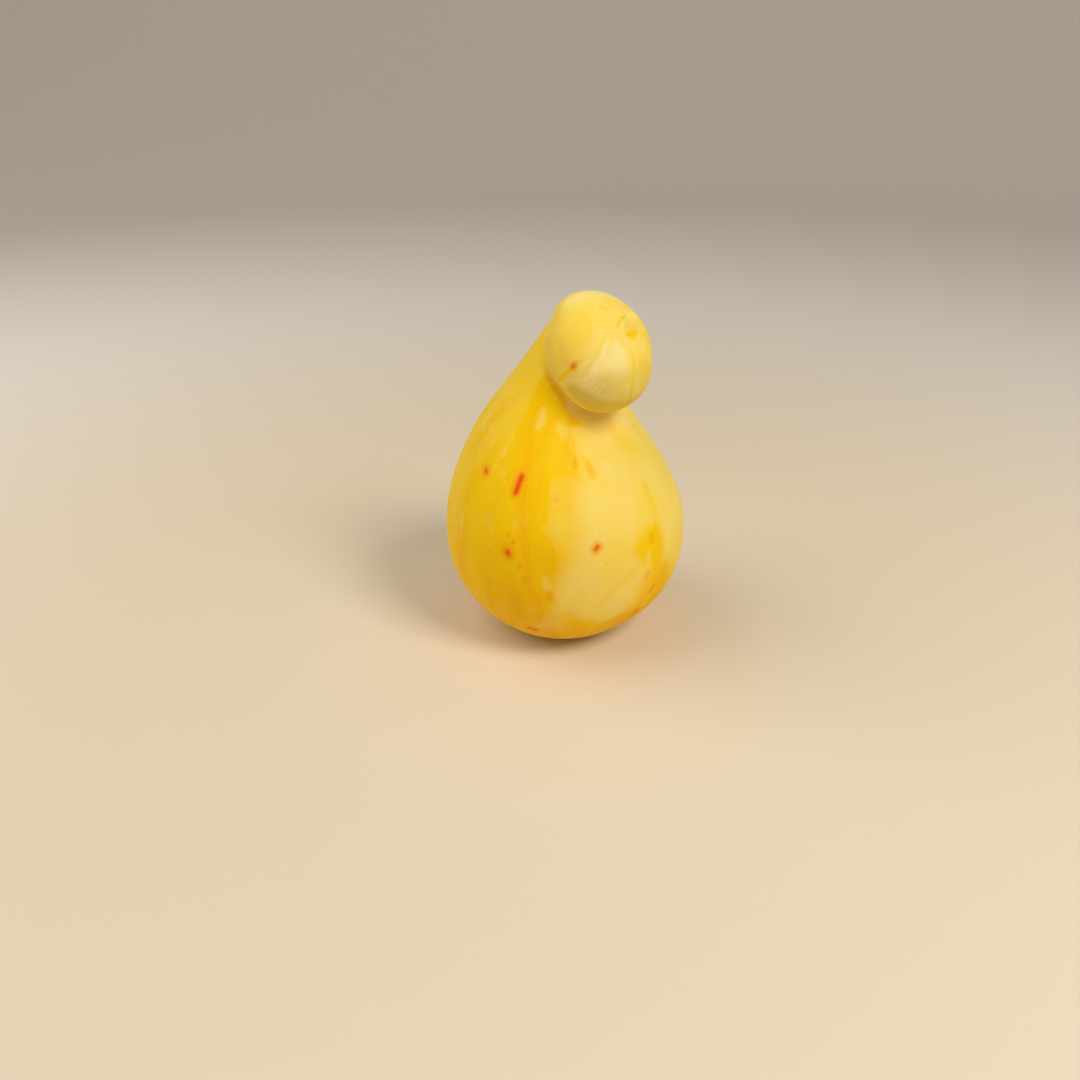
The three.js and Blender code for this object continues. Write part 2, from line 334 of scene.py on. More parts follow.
# Dry scratches along the pull
SCRATCHES = (
    Mark((-93.4, 2.57), (-92.2, 2.53), 0.5, 0.75),
    Mark((-88.5, 2.47), (-88.5, 2.45), 0.35, 0.75),
    Mark((-92.2, 2.395), (-92, 2.38), 0.35, 0.65),
    Mark((-84, 2.425), (-83.8, 2.405), 0.35, 0.7),
    Mark((-36.6, 2.63), (-37.4, 2.57), 0.35, 0.85),
    Mark((-33.6, 2.25), (-34.2, 2.2), 0.5, 0.65),
    Mark((-2.5, 2.22), (-2.5, 2.2), 0.5, 0.75),
    Mark((-98.8, 1.97), (-98, 1.93), 0.45, 0.65),
    Mark((-85.5, 2.085), (-85.3, 2.08), 0.5, 0.7),
    Mark((-67, 2.165), (-66.8, 2.16), 0.5, 0.65),
    Mark((-52.5, 2.14), (-52.5, 2.12), 0.4, 0.6),
    Mark((-27, 1.9), (-27.5, 1.875), 0.35, 0.6),
    Mark((-107, 4.15), (-110, 3.9), 0.5, 0.65),
    Mark((-110, 3.9), (-112, 3.7), 0.5, 0.65),
    Mark((-92, 4.38), (-91, 4.3), 0.4, 0.7),
    Mark((-67, 4.42), (-65, 4.22), 0.4, 0.65),
)

# A fine crack on the right shoulder, and pits
DARK_MARKS = (
    Mark((30, 2.725), (35, 2.715), 0.3, 0.5),
    Mark((35, 2.715), (41, 2.69), 0.3, 0.52),
    Mark((41, 2.69), (47, 2.66), 0.3, 0.5),
    Mark((-30.5, 2.05), (-30.5, 2.045), 0.35, 0.62),
    Mark((-46.2, 1.99), (-46.2, 1.985), 0.35, 0.52),
    Mark((100, 2.3), (100, 2.295), 0.35, 0.6),
)


def linear(code):
    """The linear colour of an sRGB hex value such as F1C137, with full alpha."""
    shares = np.array([int(code[k:k + 2], 16) / 255 for k in (0, 2, 4)])
    shares = np.where(shares <= 0.04045, shares / 12.92, ((shares + 0.055) / 1.055) ** 2.4)
    return (*shares.tolist(), 1.0)


def length(name, millimetres, description):
    """A length property, kept in metres."""
    return FloatProperty(
        name=name, description=description, default=millimetres * MM, unit="LENGTH", precision=4,
    )


def angle(name, degrees, description):
    """An angle property, kept in radians."""
    return FloatProperty(name=name, description=description, default=math.radians(degrees), subtype="ANGLE")


def number(name, value, description):
    """A plain number property."""
    return FloatProperty(name=name, description=description, default=value)


def power(name, watts, description):
    """A lamp's power property."""
    return FloatProperty(name=name, description=description, default=watts, unit="POWER")


def position(name, metres, description):
    """A property for a place in the scene."""
    return FloatVectorProperty(
        name=name, description=description, default=metres, subtype="TRANSLATION", size=3, precision=4,
    )


def colour(name, code, description):
    """A colour property, given as an sRGB hex value."""
    return FloatVectorProperty(
        name=name, description=description, default=linear(code), subtype="COLOR", size=4, min=0, max=1,
    )


class PearSizes(bpy.types.PropertyGroup):
    """Sizes of the foot, the belly and the neck"""

    foot_radius: length("Foot radius", 20, "Radius of the flat spot that the cheese stands on")
    belly_radius: FloatProperty(
        name="Belly radius", description="Radius of the widest ring, from the packed solid",
        default=(CAD_BOX[1].x - CAD_BOX[0].x) / 2, unit="LENGTH", precision=4,
    )
    belly_height: length("Belly height", 61, "Height of the widest ring")
    belly_fullness: number("Belly fullness", 2.3, "Power of the oval below the belly: 2 is an ellipse")
    lean: angle("Lean", -42.5, "Where the head leans in plan, from +X")
    outer_low_handle: length("Outer low handle", 39, "Curve handle at the belly, on the outer side")
    outer_high_handle: length("Outer high handle", 43.5, "Curve handle at the pinch, on the outer side")
    outer_slope: angle("Outer slope", 54, "Slope of the neck at the pinch, on the outer side")
    inner_low_handle: length("Inner low handle", 31, "Curve handle at the belly, on the inner side")
    inner_high_handle: length("Inner high handle", 23, "Curve handle at the pinch, on the inner side")
    inner_slope: angle("Inner slope", 101, "Slope of the neck at the pinch, on the inner side")
    side_flare: length("Side flare", 11, "How much wider than the pinch the neck's sides are below it")


class HeadSizes(bpy.types.PropertyGroup):
    """Sizes of the pinch, the head, its dimple and the stub"""

    reach: length("Reach", 20.3, "From the pear's axis to the middle of the head's widest ring")
    height: length("Height", 155.7, "Height of the middle of the head's widest ring")
    tilt: angle("Tilt", 49, "How far the head's axis leans from upright")
    radius: length("Radius", 28, "Radius of the head's widest ring")
    oval: length("Oval", 1.6, "How far the widest ring departs from round")
    oval_turn: angle("Oval turn", -7, "Where the widest ring is longest")
    cap_length: length("Cap length", 21, "From the widest ring to the tip")
    cap_fullness: number("Cap fullness", 2.3, "Power of the cap's oval: 2 is an ellipse")
    pinch_back_inner: length("Pinch back, inner", 17, "From the pinch to the widest ring, on the inner side")
    pinch_back_outer: length("Pinch back, outer", 6.5, "From the pinch to the widest ring, outside")
    pinch_depth_inner: length("Pinch depth, inner", 7, "How far the pinch is drawn in, on the inner side")
    pinch_depth_side: length("Pinch depth, side", 4.2, "How far the pinch is drawn in, at the sides")
    pinch_depth_outer: length("Pinch depth, outer", 1, "How far the pinch is drawn in, on the outer side")
    fold_spread: number("Fold spread", 1.5, "How fast the sharp fold turns gentle round the ring")
    dimple_radius: length("Dimple radius", 6.5, "Radius of the dimple at the tip")
    dimple_depth: length("Dimple depth", 1.0, "Depth of the dimple at the tip")
    stub_radius: length("Stub radius", 3.3, "Half the width of the stub of curd in the dimple")
    stub_flare: length("Stub flare", 0.1, "How much wider the stub is at its root")
    stub_length: length("Stub length", 4.4, "Length of the stub along the head's axis")
    stub_rounding: length("Stub rounding", 1.1, "Rounding of the stub's end")
    stub_lean: number("Stub lean", 0.91, "Shift of the stub to the outer side for each unit of its length")
    stub_sway: number("Stub sway", 0.49, "Shift of the stub to the right for each unit of its length")
    stub_across: length("Stub across", 2.9, "Shift of the whole stub to the right")
    stub_inward: length("Stub inward", -0.6, "Shift of the whole stub to the inner side")
    stub_square: number("Stub squareness", 2.5, "Power of the stub's section: 2 is round, more is squarer")


class SkinRelief(bpy.types.PropertyGroup):
    """Relief of the skin, and the rounding of its corners"""

    lump_height: length("Lump height", 0.3, "How far the hand-formed skin swells and sinks")
    lump_length: length("Lump length", 62, "Wavelength of those swells")
    flute_height: length("Flute height", 0.14, "Height of the faint flutes along the pull, at the pinch")
    pleat_width: length("Pleat width", 1.1, "Half width of a pleat's crease")
    lip_length: length("Lip length", 5, "How far a pleat's lip runs out")
    crease_depth: length("Crease depth", 1.5, "How far the fold under the head is pressed in")
    crease_width: length("Crease width", 2.2, "Half width of that fold's crease")
    belly_easing: length("Belly easing", 9, "Over how far the belly's widest ring is eased")
    fold_easing: length("Fold easing", 0.7, "Rounding of the fold under the head")
    flank_easing: length("Flank easing", 4.5, "Rounding where the flanks of the neck run into the head")
    notch_easing: length("Notch easing", 2.2, "Rounding where the outer side of the neck runs into the head")
    edge_easing: length("Edge easing", 2, "Rounding of the foot's rim and of the head's widest ring")
    tip_easing: length("Tip easing", 1.6, "Rounding of the dimple's rim")
    root_easing: length("Root easing", 0.5, "Rounding of the stub's root on the inner side")
    hollow_easing: length("Hollow easing", 3, "Rounding of the hollow behind the leaning stub")


class CurdColours(bpy.types.PropertyGroup):
    """Colours of the curd, its saffron, its rind, and the painted shade under the head"""

    paste: colour("Paste", "F8D556", "The curd itself")
    pale: colour("Pale paste", "F8E092", "Dry and well pulled curd")
    gold: colour("Saffron gold", "FBCB00", "Curd that saffron has stained")
    # Also the painted shade low down, where the gold deepens towards the foot
    deep: colour("Deep gold", "F2AE00", "The streaks where the stain is strongest")
    halo: colour("Thread halo", "F89D05", "Curd close to a saffron thread")
    thread: colour("Saffron thread", "E95206", "A saffron thread in the skin")
    # Painted shade: an ochre tone that darkens the head's underside and the fold
    painted_shade: colour("Painted shade", "DABF4C", "Painted shade under the head and in the fold")
    rind: colour("Rind", "FBEFCB", "Scuffs, scratches and specks of dry rind")
    pit: colour("Pit", "9A7412", "Cracks and pits")


class StageSettings(bpy.types.PropertyGroup):
    """Floor, light and camera"""

    floor_radius: length("Floor radius", 1500, "Radius of the level floor")
    rim_radius: length("Rim radius", 900, "Radius of the sweep from the floor up into the backdrop")
    floor: colour("Floor", "E8D5B6", "Plain pale floor, close to the cheese")
    # Painted light: the far floor and backdrop are paler, making up for the lamps' light falling off
    backdrop: colour("Backdrop", "F4E9D8", "The floor further out, and the backdrop")
    sky_strength: number("Sky strength", 0.265, "Brightness of the even light from all round")
    key_power: power("Key light", 8.5, "Power of the lamp at the upper right")
    key_size: length("Key size", 450, "Side of the lamp at the upper right")
    key_place: position("Key place", (0.61, -0.59, 0.94), "Where the lamp at the upper right hangs")
    fill_power: power("Fill light", 7.6, "Power of the large soft lamp on the left")
    fill_size: length("Fill size", 1200, "Side of the large soft lamp on the left")
    fill_place: position("Fill place", (-0.85, 0.0, 0.94), "Where the large soft lamp on the left hangs")
    lamp_aim: length("Lamp aim", 90, "Height on the cheese's axis that both lamps face")
    camera_place: position("Camera place", (-0.0133, -0.4576, 0.2893), "Where the camera stands")
    camera_drop: angle("Camera drop", 28, "How far the camera looks down")
    camera_lens: FloatProperty(
        name="Lens", description="Focal length on a 36 mm sensor", default=31.6, unit="CAMERA",
    )


class Caciocavallo(bpy.types.PropertyGroup):
    """All settings of the cheese and of its stage"""

    pear: PointerProperty(type=PearSizes)
    head: PointerProperty(type=HeadSizes)
    relief: PointerProperty(type=SkinRelief)
    colours: PointerProperty(type=CurdColours)
    stage: PointerProperty(type=StageSettings)


def total(*terms):
    """The sum of directions, each times an array of amounts."""
    return sum(np.multiply.outer(np.asarray(amount, float), direction) for direction, amount in terms)


def mix(low, high, share):
    """What lies this share of the way from low to high."""
    return low + (high - low) * share


def smooth(low, high, value):
    """0 below low, 1 above high, and an S-curve between."""
    share = np.clip((value - low) / (high - low), 0, 1)
    return share * share * (3 - 2 * share)


def apart(turn, middle):
    """The angle from a middle to a turn, from -pi to pi."""
    return (turn - middle + math.pi) % (2 * math.pi) - math.pi


def around(turn, inner, side, outer):
    """A value round a ring: side + (inner - outer)/2 cos + ((inner + outer)/2 - side) cos^2."""
    c = np.cos(turn)
    return side + (inner - outer) / 2 * c + ((inner + outer) / 2 - side) * c * c


class SmoothForm:
    """The smooth cheese by turn and rise. Each stretch is a method of two arrays, the turn and its share."""

    def __init__(self, pear, head):
        self.pear, self.head = pear, head
        self.up = np.array((0.0, 0.0, 1.0))
        self.forward = np.array((math.cos(pear.lean), math.sin(pear.lean), 0.0))
        self.across = np.cross(self.up, self.forward)
        self.axis = math.sin(head.tilt) * self.forward + math.cos(head.tilt) * self.up
        self.inward = math.cos(head.tilt) * self.forward - math.sin(head.tilt) * self.up
        self.centre = head.reach * self.forward + head.height * self.up

    def round_pear(self, turn, radius, height):
        """A level ring: radius times the direction of the turn, at a height."""
        ring = total((self.forward, radius * np.cos(turn)), (self.across, radius * np.sin(turn)))
        return ring + total((self.up, height + 0 * turn))

    def round_head(self, turn, radius, along):
        """A ring round the head's axis, so far along it from the widest ring."""
        ring = total((self.inward, radius * np.cos(turn)), (self.across, radius * np.sin(turn)))
        return self.centre + ring + total((self.axis, along + 0 * turn))

    def foot(self, turn, share):
        """A level disc: the radius grows evenly out to the foot's rim."""
        return self.round_pear(turn, self.pear.foot_radius * share, 0.0)

    def belly(self, turn, share):
        """A superellipse from the foot's rim to the widest ring: radius R cos^p, height H minus D sin^p."""
        bend = 2 / self.pear.belly_fullness
        start = math.acos((self.pear.foot_radius / self.pear.belly_radius) ** (1 / bend))
        drop = self.pear.belly_height / math.sin(start) ** bend
        below = start * (1 - share)
        radius = self.pear.belly_radius * np.cos(below) ** bend
        return self.round_pear(turn, radius, self.pear.belly_height - drop * np.sin(below) ** bend)

    def neck(self, turn, share):
        """A cubic Bezier curve up every turn, from the belly's widest ring to the pinch."""
        pear = self.pear
        inner = (1 + np.cos(turn)) / 2
        belly = self.round_pear(turn, pear.belly_radius, pear.belly_height)
        pinch = self.swell(turn, 0 * share)
        low = belly + total((self.up, mix(pear.outer_low_handle, pear.inner_low_handle, inner)))
        outer_pull = math.cos(pear.outer_slope) * self.forward + math.sin(pear.outer_slope) * self.up
        inner_pull = math.cos(pear.inner_slope) * self.forward + math.sin(pear.inner_slope) * self.up
        high = pinch + total(
            (outer_pull, -pear.outer_high_handle * (1 - inner)),
            (inner_pull, -pear.inner_high_handle * inner),
            (self.across, pear.side_flare * np.sin(turn)),
        )
        t = share[..., None]
        return belly * (1 - t) ** 3 + 3 * low * t * (1 - t) ** 2 + 3 * high * t * t * (1 - t) + pinch * t ** 3

    def oval(self, turn):
        """How far the head's oval stands out from its round: a cosine of twice the turn."""
        return self.head.oval * np.cos(2 * (turn - self.head.oval_turn))

    def swell(self, turn, share):
        """From the pinch to the head's widest ring: at once (sine) inside, gently (sine squared) outside."""
        head = self.head
        bend = share * math.pi / 2
        gentle = np.sin(bend) ** 2
        tight = ((1 + np.cos(turn)) / 2) ** head.fold_spread
        drawn = 1 - mix(gentle, np.sin(bend), tight)
        depth = around(turn, head.pinch_depth_inner, head.pinch_depth_side, head.pinch_depth_outer)
        side_back = (head.pinch_back_inner + head.pinch_back_outer) / 2
        back = around(turn, head.pinch_back_inner, side_back, head.pinch_back_outer)
        radius = head.radius - depth * drawn + self.oval(turn) * gentle
        return self.round_head(turn, radius, -back * np.cos(bend))

    def cap(self, turn, share):
        """A superellipse from the head's widest ring to the dimple's rim: radius R cos^p, along L sin^p."""
        bend = 2 / self.head.cap_fullness
        full = self.head.radius + self.oval(turn)
        rise = np.arccos((self.head.dimple_radius / full) ** (1 / bend)) * share
        return self.round_head(turn, full * np.cos(rise) ** bend, self.head.cap_length * np.sin(rise) ** bend)

    def dimple(self, turn, share):
        """A funnel from the cap's end to the root of the stub, whose depth follows an S-curve."""
        rim, root = self.cap(turn, 1 + 0 * share), self.stub(turn, 0 * share)
        level = rim + (root - rim) * share[..., None]
        return level + total((self.axis, (rim - root) @ self.axis * (share - smooth(0, 1, share))))

    def peg(self, turn, radius, along):
        """A ring of the leaning stub: a superellipse that shifts outwards and to the right as it grows."""
        head = self.head
        square = head.stub_square
        radius = radius / (np.abs(np.cos(turn)) ** square + np.abs(np.sin(turn)) ** square) ** (1 / square)
        ring = self.round_head(turn, radius, head.cap_length - head.dimple_depth + along)
        inward = head.stub_inward - head.stub_lean * along
        across = head.stub_across + head.stub_sway * along
        return ring + total((self.inward, inward + 0 * turn), (self.across, across + 0 * turn))

    def stub(self, turn, share):
        """The stub's sides: a peg that narrows from its flared root."""
        head = self.head
        radius = head.stub_radius + head.stub_flare * (1 - share) ** 2
        return self.peg(turn, radius, share * (head.stub_length - head.stub_rounding))

    def stub_end(self, turn, share):
        """A quarter round over the first half, and then a flat disc that closes on the middle of the end."""
        head = self.head
        bend = np.clip(share * 2, 0, 1) * math.pi / 2
        radius = head.stub_radius - head.stub_rounding * (1 - np.cos(bend))
        return self.peg(
            turn, radius * (1 - np.clip(share * 2 - 1, 0, 1)),
            head.stub_length - head.stub_rounding * (1 - np.sin(bend)),
        )

    def points(self, turn, rise):
        """Every point by the stretch that its rise falls in."""
        stretch, share = np.floor(rise), rise % 1
        shapes = [getattr(self, name)(turn, share) for name in STRETCH_ROWS]
        return np.select([stretch[..., None] == k for k in range(len(shapes))], shapes)


class SkinGrid:
    """The points of the skin by row and column, with the turn and the rise of each."""

    def __init__(self, form):
        rises = []
        for k, (stretch, rows) in enumerate(STRETCH_ROWS.items()):
            share = (np.arange(rows) + 0.5 * (stretch == "foot")) / rows
            if stretch == "neck":
                share = 1 - (1 - share) ** NECK_BUNCHING
            rises.append(k + share)
        turns = np.arange(ROW_POINTS) * 2 * math.pi / ROW_POINTS
        self.rise, self.turn = np.meshgrid(np.concatenate(rises), turns, indexing="ij")
        self.form = form
        self.points = form.points(self.turn, self.rise)

    def up(self):
        """The length of every meridian from the foot up to each row."""
        steps = np.linalg.norm(np.diff(self.points, axis=0), axis=-1)
        return np.concatenate([np.zeros((1, ROW_POINTS)), np.cumsum(steps, axis=0)])

    def outward(self):
        """Unit normals: the way round times the way up."""
        along = np.gradient(self.points, axis=0)
        round_it = np.roll(self.points, -1, axis=1) - np.roll(self.points, 1, axis=1)
        normals = np.cross(round_it, along)
        return normals / np.maximum(np.linalg.norm(normals, axis=-1, keepdims=True), 1e-12)

    def head_radius(self):
        """How far each point is from the head's axis."""
        return np.linalg.norm(np.cross(self.points - self.form.centre, self.form.axis), axis=-1)

    def row(self, rise):
        """The row nearest to a rise."""
        return int(np.abs(self.rise[:, 0] - rise).argmin())

    def place(self, turn, rise):
        """The point at a place on the skin, between the four points of the grid round it."""
        row = np.interp(rise, self.rise[:, 0], np.arange(len(self.rise)))
        column = turn / 360 * ROW_POINTS
        low, left = int(row), math.floor(column)
        rows = self.points[low:low + 2]
        sides = mix(rows[:, left % ROW_POINTS], rows[:, (left + 1) % ROW_POINTS], column - left)
        return mix(sides[0], sides[-1], row - low)


def ease_corners(grid, relief):
    """Rounds the meridians where two stretches meet.

    A point moves to the middle of its neighbours, again and again, as far as the easing of the nearest ring
    asks: steps of diffusion whose spread is the easing length close to the ring and nothing far from it.
    """
    up = grid.up()
    spacing = np.gradient(up, axis=0)
    from_inner = np.degrees(np.abs(apart(grid.turn, 0)))
    fold = mix(relief.fold_easing, relief.flank_easing, smooth(*FOLD_TO_FLANK, from_inner))
    fold = mix(fold, relief.notch_easing, smooth(*FLANK_TO_NOTCH, from_inner))
    root = mix(relief.root_easing, relief.hollow_easing, smooth(*ROOT_TO_HOLLOW, from_inner))
    rings = (
        (1, relief.edge_easing), (2, relief.belly_easing), (3, fold), (4, relief.edge_easing),
        (5, relief.tip_easing), (6, root),
    )
    spread = np.zeros_like(up)
    for rise, easing in rings:
        away = (up - up[grid.row(rise)]) / (EASING_REACH * easing)
        spread = np.maximum(spread, easing * np.exp(-away ** 2))
    share = np.clip((spread / spacing) ** 2 / EASING_STEPS, 0, 1)[1:-1, :, None]
    for _ in range(EASING_STEPS):
        middle = (grid.points[:-2] + grid.points[2:]) / 2
        grid.points[1:-1] += share * (middle - grid.points[1:-1])


def pleat_height(grid, relief):
    """The gathered head: each pleat is a narrow crease, exp(-x^2), beside a lip that runs out on one side.

    Its middle turns as a parabola through its three turns. It fades in where it begins, unless that is the
    widest ring.
    """
    share = np.clip(grid.rise - 4, 0, 1)
    on_head = smooth(*PLEATS_BEGIN, grid.rise) * (1 - smooth(*PLEATS_END, grid.rise))
    reach = grid.head_radius()
    height = np.zeros_like(share)
    for pleat in PLEATS:
        low, half, tip = np.radians(pleat.turns)
        middle = low + (4 * half - 3 * low - tip) * share + 2 * (low + tip - 2 * half) * share ** 2
        offset = apart(grid.turn, middle) * np.sign(pleat.lip) * reach
        shows = on_head * smooth(*PLEAT_START, share - pleat.begins + (pleat.begins == 0))
        crease = np.exp(-(offset / relief.pleat_width) ** 2)
        lip = smooth(*LIP_RISE, offset / relief.pleat_width)
        lip = lip * np.exp(-np.maximum(offset, 0) / relief.lip_length)
        height += shows * (abs(pleat.lip) * lip - pleat.depth * crease) * MM
    return height


def skin_height(grid, relief):
    """Relief of the hand-formed skin.

    Slow lumps are a sum of plane waves, flutes are a sum of cosines of the turn that are lower where they are
    closer, bulges are round hills exp(-x^2), and the fold under the head is a crease exp(-x^2) along the
    pinch, half as deep at its middle and fading out to the sides.
    """
    draw = np.random.default_rng(RELIEF_SEED)
    waves = draw.normal(size=(LUMP_WAVES, 3))
    waves *= 2 * math.pi / relief.lump_length / np.linalg.norm(waves, axis=1, keepdims=True)
    lumps = np.sin(grid.points @ waves.T + draw.uniform(0, 2 * math.pi, LUMP_WAVES)).sum(-1)
    lumps *= smooth(0, LUMPS_BEGIN, grid.points[..., 2]) * (1 - smooth(*LUMPS_END, grid.rise))
    height = relief.lump_height * lumps / math.sqrt(LUMP_WAVES)

    flutes = sum(np.cos(k * grid.turn + draw.uniform(0, 2 * math.pi)) * 3 / k for k in FLUTE_WAVES)
    flutes *= smooth(*FLUTES_BEGIN, grid.rise) * (1 - smooth(*FLUTES_END, grid.rise))
    height += relief.flute_height * flutes

    for bulge in BULGES:
        away = np.linalg.norm(grid.points - grid.place(*bulge.place), axis=-1) / (bulge.radius * MM)
        height += bulge.height * MM * np.exp(-away ** 2) * (1 - smooth(*BULGES_END, grid.rise))

    up = grid.up()
    from_inner = np.degrees(np.abs(apart(grid.turn, 0)))
    crease = np.exp(-((up - up[grid.row(3)]) / relief.crease_width) ** 2)
    crease *= mix(0.5, 1, smooth(*CREASE_DEEPENS, from_inner)) * (1 - smooth(*CREASE_ENDS, from_inner))
    height -= relief.crease_depth * crease
    return height + pleat_height(grid, relief)


def washed(grid, washes):
    """How strongly washes show at each point: 1 between two turns that follow the rise, with soft edges."""
    amount = np.zeros_like(grid.turn)
    for wash in washes:
        rises, starts, ends = np.array(wash.rows).T
        start, end = np.interp(grid.rise, rises, starts), np.interp(grid.rise, rises, ends)
        beside = np.abs(np.degrees(apart(grid.turn, np.radians((start + end) / 2))))
        shows = smooth(-wash.soft, wash.soft, (end - start) / 2 - beside)
        shows *= smooth(rises[0] - WASH_FADE, rises[0] + WASH_FADE, grid.rise)
        shows *= 1 - smooth(rises[-1] - WASH_FADE, rises[-1] + WASH_FADE, grid.rise)
        amount = np.maximum(amount, wash.strength * shows)
    return amount


def soaked(amount):
    """Washes with soft edges: each point takes the mean of its four neighbours, again and again."""
    for _ in range(SOAKING_STEPS):
        padded = np.concatenate([amount[:1], amount, amount[-1:]])
        beside = np.roll(amount, 1, axis=1) + np.roll(amount, -1, axis=1)
        amount = (beside + padded[:-2] + padded[2:]) / 4
    return amount


def stained(grid, stains):
    """How strongly stains show at each point: an S-curve down from each path, half way at its half width."""
    amount = np.zeros_like(grid.turn)
    for stain in stains:
        knots = [(grid.place(turn, rise), half_width * MM) for turn, rise, half_width in stain.path]
        for (start, start_width), (end, end_width) in zip(knots[:-1], knots[1:]):
            way = end - start
            share = np.clip((grid.points - start) @ way / max(way @ way, 1e-12), 0, 1)
            away = np.linalg.norm(grid.points - start - share[..., None] * way, axis=-1)
            half_width = mix(start_width, end_width, share)
            soft = half_width / 2 + STAIN_BLUR
            shows = 1 - smooth(half_width - soft, half_width + soft, away)
            amount = np.maximum(amount, stain.strength * shows)
    return amount


def skin_mesh(name, points, poles):
    """A closed mesh of a grid that runs round: quads between its rows, and a fan to a pole at each end."""
    rows, columns = points.shape[:2]
    corner = np.arange(rows * columns).reshape(rows, columns)
    beside = np.roll(corner, -1, axis=1)
    quads = np.stack([corner[:-1], beside[:-1], beside[1:], corner[1:]], axis=-1).reshape(-1, 4)
    low, high = rows * columns, rows * columns + 1
    bottom = np.stack([beside[0], corner[0], np.full(columns, low)], axis=-1)
    top = np.stack([corner[-1], beside[-1], np.full(columns, high)], axis=-1)
    mesh = bpy.data.meshes.new(name)
    corners = np.concatenate([points.reshape(-1, 3), poles])
    mesh.from_pydata(corners.tolist(), [], quads.tolist() + bottom.tolist() + top.tolist())
    mesh.polygons.foreach_set("use_smooth", np.ones(len(mesh.polygons), dtype=bool))
    return mesh


def keep_on_mesh(mesh, name, values):
    """Stores an array of the grid as an attribute, a number or vector a point. Poles take a row's mean."""
    poles = np.stack([values[0].mean(axis=0), values[-1].mean(axis=0)])
    values = np.concatenate([values.reshape(-1, values.shape[-1]), poles]).astype(np.float32)
    kind, field = ("FLOAT", "value") if values.shape[1] == 1 else ("FLOAT_VECTOR", "vector")
    mesh.attributes.new(name, kind, "POINT").data.foreach_set(field, values.ravel())


def add(tree, kind, output, inputs, **settings):
    """Adds a node and gives its named output. An input that is a socket is linked, and a value is set."""
    node = tree.nodes.new(kind)
    for setting, value in settings.items():
        setattr(node, setting, value)
    for key, value in inputs.items():
        if isinstance(value, bpy.types.NodeSocket):
            tree.links.new(value, node.inputs[key])
        else:
            node.inputs[key].default_value = value
    return node.outputs[output] if output is not None else node


# Sockets by number: of the Mix node when it mixes colours, and of Map Range
FACTOR, FIRST, SECOND, MIXED = 0, 6, 7, 2
VALUE, FROM_LOW, FROM_HIGH, TO_LOW, TO_HIGH = range(5)


def nearness(tree, place, marks, grid, reach):
    """How near a place is to any mark: the largest of strength times (1 - distance over reach times radius).

    The distance is to the straight line from start to end: the place is projected on it, the share clamped.
    """
    nearest = -1.0
    for mark in marks:
        start, end = grid.place(*mark.start), grid.place(*mark.end)
        way = end - start
        span = max(float(way @ way), LEAST_STROKE ** 2)
        slope = -mark.strength / (reach * mark.radius * MM)
        offset = add(tree, "ShaderNodeVectorMath", "Vector", {0: place, 1: start}, operation="SUBTRACT")
        share = add(
            tree, "ShaderNodeVectorMath", "Value", {0: offset, 1: way / span}, operation="DOT_PRODUCT",
        )
        share = add(tree, "ShaderNodeClamp", "Result", {"Value": share})
        foot = add(
            tree, "ShaderNodeVectorMath", "Vector", {0: share, 1: way, 2: start}, operation="MULTIPLY_ADD",
        )
        away = add(tree, "ShaderNodeVectorMath", "Value", {0: place, 1: foot}, operation="DISTANCE")
        near = add(
            tree, "ShaderNodeMath", "Value", {0: away, 1: slope, 2: mark.strength}, operation="MULTIPLY_ADD",
        )
        nearest = add(tree, "ShaderNodeMath", "Value", {0: nearest, 1: near}, operation="MAXIMUM")
    return nearest


